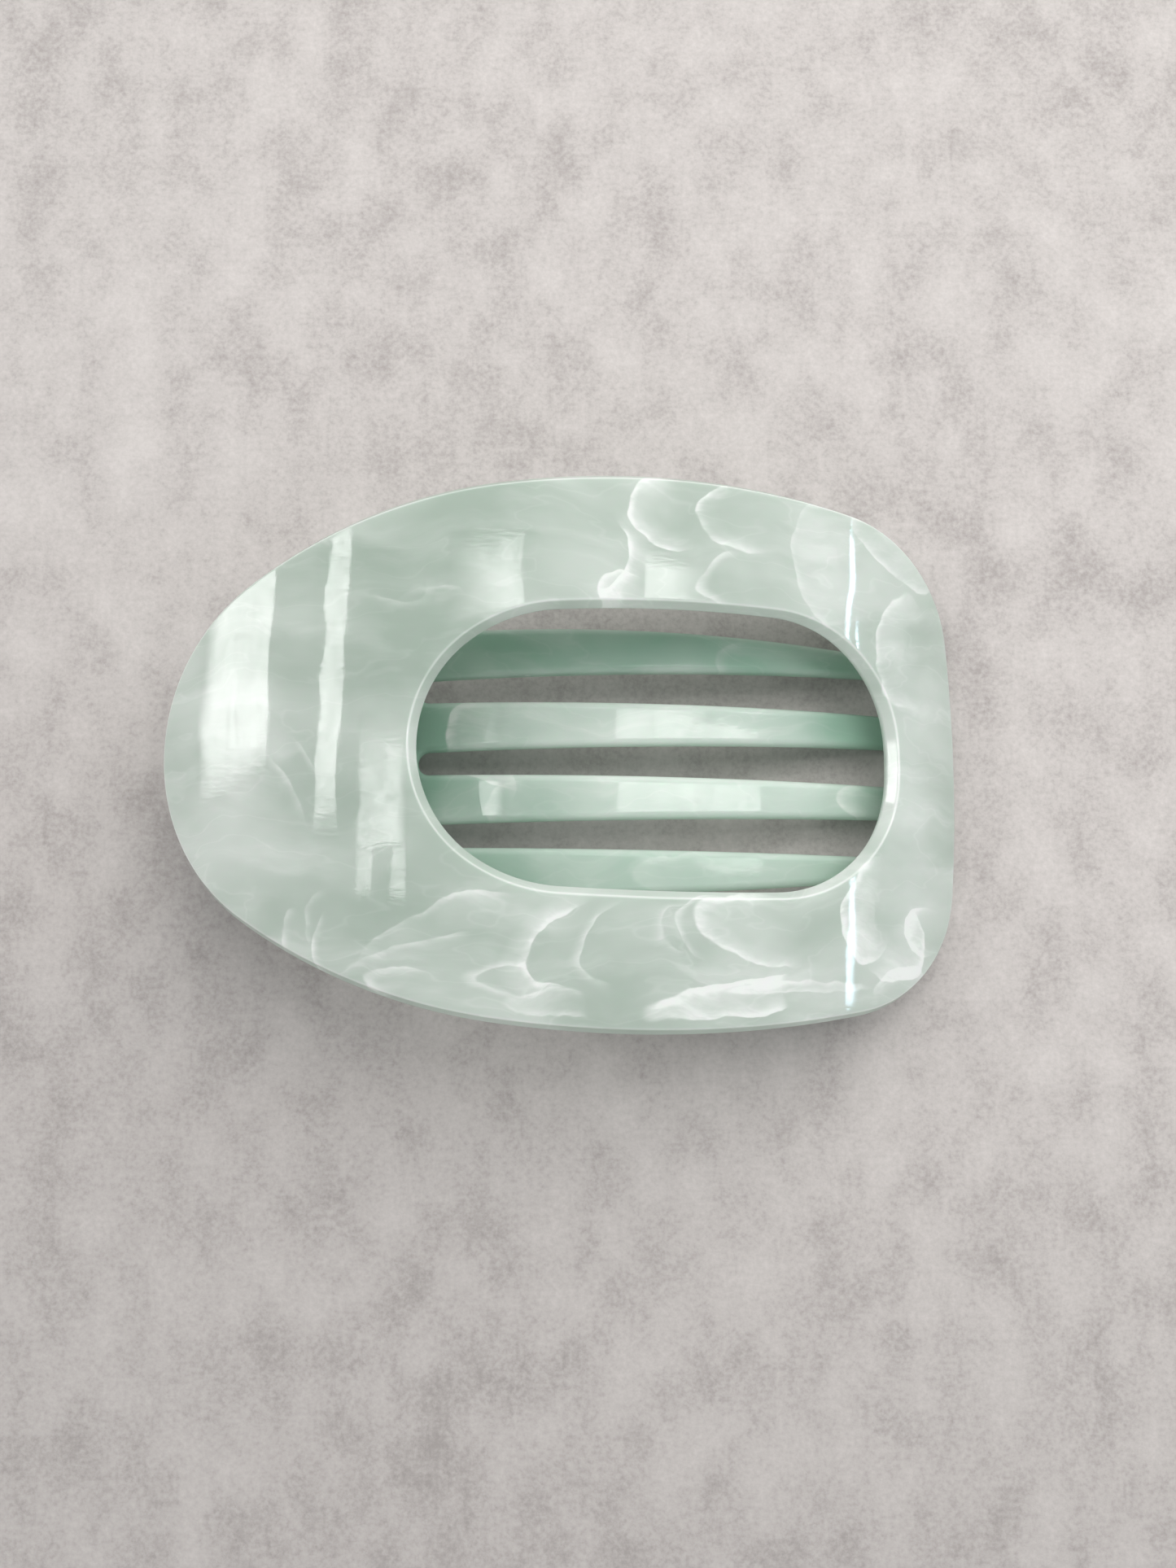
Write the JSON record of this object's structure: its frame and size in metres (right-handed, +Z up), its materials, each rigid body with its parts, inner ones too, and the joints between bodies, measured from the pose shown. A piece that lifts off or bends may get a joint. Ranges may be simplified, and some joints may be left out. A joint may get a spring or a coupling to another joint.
{
  "type": "lay-flat hair claw",
  "caption": "Arched lay-flat hair claw with an oval window, a tined lower jaw and a sprung hinge under its handle.",
  "frame": {"origin": "under the middle of the clip, on the surface that it lies on", "axes": "+X from the handles to the jaw tips, +Y across the clip along the hinge pin, +Z up through the arched upper jaw"},
  "size_m": [0.1089, 0.0722, 0.0272],
  "materials": {
    "shell_plastic": "polished moulded acrylic, pale mint marbled with white",
    "comb_plastic": "polished moulded acrylic, the same marbled mint",
    "pin_steel": "drawn steel rod",
    "spring_steel": "nickel-plated spring wire"
  },
  "bodies": {
    "lower": {"lower_jaw": "comb_plastic"},
    "upper": {"upper_jaw": "shell_plastic", "hinge_pin": "pin_steel", "torsion_spring": "spring_steel"}
  },
  "joints": [
    {"name": "jaw_hinge", "type": "hinge", "parent": "lower", "child": "upper", "pos_m": [-0.028, 0, 0.015], "axis": [0, -1, 0], "range_deg": [0, 30], "stiffness_Nm_per_rad": 0.3, "springref_deg": -25.78, "deforming": ["torsion_spring"]}
  ]
}
